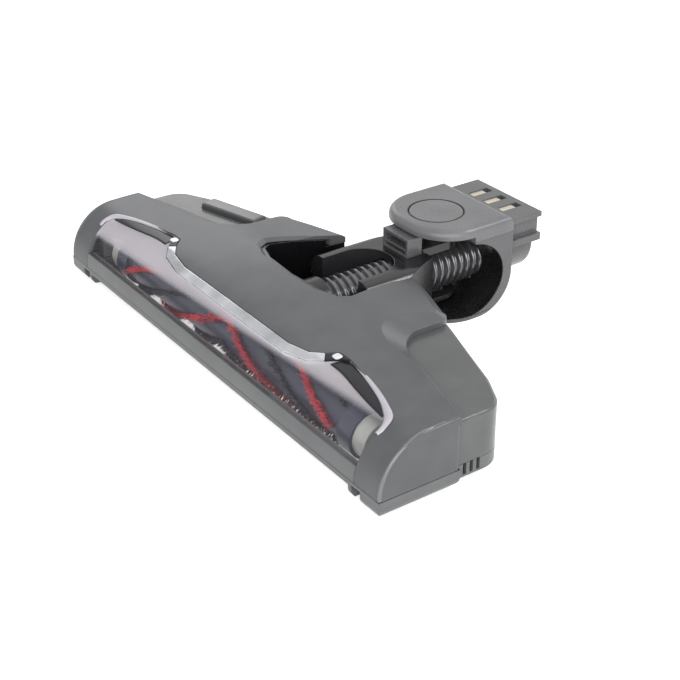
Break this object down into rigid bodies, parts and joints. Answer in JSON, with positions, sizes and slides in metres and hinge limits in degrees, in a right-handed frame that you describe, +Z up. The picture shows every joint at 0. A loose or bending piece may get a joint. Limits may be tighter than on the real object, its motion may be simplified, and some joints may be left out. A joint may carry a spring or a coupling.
{
  "type": "vacuum brush",
  "caption": "Motorised vacuum floor head: windowed bar with a belt-driven bristle roll, folding hose neck, swivel yoke and a wand connector with electric contacts.",
  "frame": {"origin": "floor level under the middle of the bounding box", "axes": "+X along the bar to its right end, +Y from the bar's front to the wand connector, +Z up"},
  "size_m": [0.265, 0.178, 0.0485],
  "materials": {
    "cover_grey": "satin metallic",
    "wing_grey": "gloss",
    "base_grey": "satin",
    "yoke_grey": "satin metallic",
    "clear": "clear",
    "light_bar": "translucent",
    "lamp": "gloss",
    "steel": "ground",
    "motor_steel": "zinc",
    "roller": "satin",
    "bristle_red": "nylon",
    "bristle_dark": "nylon",
    "rubber": "matte",
    "felt": "felt",
    "board": "satin",
    "duct": "satin",
    "contact": "plated"
  },
  "bodies": {
    "head": {"top_cover": "cover_grey", "mid_housing": "wing_grey", "base_housing": "base_grey", "window": "clear", "front_bumper": "base_grey", "light_strip": "light_bar", "lamp_left": "lamp", "lamp_right": "lamp", "bearing_left": "steel", "bearing_right": "steel", "belt": "rubber", "motor_can": "motor_steel", "motor_mount": "steel", "control_board": "board", "suction_duct": "duct", "hose_front": "rubber", "pivot_pin_left": "steel", "pivot_pin_right": "steel", "rear_axle_left": "steel", "rear_axle_right": "steel", "front_axle_left": "steel", "front_axle_right": "steel", "glide_pad_left": "felt", "glide_pad_right": "felt", "pedal_spring": "steel", "screws": "steel"},
    "brush_roll": {"roller_core": "roller", "roller_cap_left": "roller", "roller_cap_right": "roller", "roller_shaft": "steel", "roller_pulley": "roller", "bristles_red": "bristle_red", "bristles_dark": "bristle_dark"},
    "motor_rotor": {"motor_shaft": "steel", "motor_pulley": "roller"},
    "neck": {"neck_arm": "yoke_grey", "cable_box": "yoke_grey", "hose_rear": "rubber"},
    "yoke": {"yoke_body": "yoke_grey", "yoke_cap": "yoke_grey", "pivot_button": "yoke_grey", "swivel_pin_top": "steel", "swivel_pin_bottom": "steel", "connector": "yoke_grey", "contacts": "contact"},
    "pedal": {"pedal": "wing_grey"},
    "rear_wheel_left": {"rear_wheel_left": "rubber"},
    "rear_wheel_right": {"rear_wheel_right": "rubber"},
    "front_roller_left": {"front_roller_left": "rubber"},
    "front_roller_right": {"front_roller_right": "rubber"}
  },
  "joints": [
    {"name": "brush_spin", "type": "hinge", "parent": "head", "child": "brush_roll", "pos_m": [0, -0.0685, 0.0155], "axis": [1, 0, 0], "continuous": true},
    {"name": "motor_spin", "type": "hinge", "parent": "head", "child": "motor_rotor", "pos_m": [0.11, -0.037, 0.0165], "axis": [1, 0, 0], "continuous": true},
    {"name": "neck_pitch", "type": "hinge", "parent": "head", "child": "neck", "pos_m": [0, -0.006, 0.019], "axis": [1, 0, 0], "range_deg": [0, 85], "deforming": ["hose_front"]},
    {"name": "yoke_swivel", "type": "hinge", "parent": "neck", "child": "yoke", "pos_m": [0, 0.0425, 0.02], "axis": [0, 0, 1], "range_deg": [-60, 60], "deforming": ["hose_rear"]},
    {"name": "pedal_press", "type": "slide", "parent": "head", "child": "pedal", "axis": [0, 0, 1], "range_m": [-0.002, 0], "stiffness_N_per_m": 400, "deforming": ["pedal_spring"]},
    {"name": "rear_wheel_left_spin", "type": "hinge", "parent": "head", "child": "rear_wheel_left", "pos_m": [-0.052, -0.015, 0.006], "axis": [1, 0, 0], "continuous": true},
    {"name": "front_roller_left_spin", "type": "hinge", "parent": "head", "child": "front_roller_left", "pos_m": [-0.117, -0.0825, 0.0032], "axis": [1, 0, 0], "continuous": true},
    {"name": "rear_wheel_right_spin", "type": "hinge", "parent": "head", "child": "rear_wheel_right", "pos_m": [0.052, -0.015, 0.006], "axis": [1, 0, 0], "continuous": true},
    {"name": "front_roller_right_spin", "type": "hinge", "parent": "head", "child": "front_roller_right", "pos_m": [0.117, -0.0825, 0.0032], "axis": [1, 0, 0], "continuous": true}
  ],
  "couplings": [
    {"joint": "motor_spin", "follows": "brush_spin", "ratio": 1.7778}
  ]
}
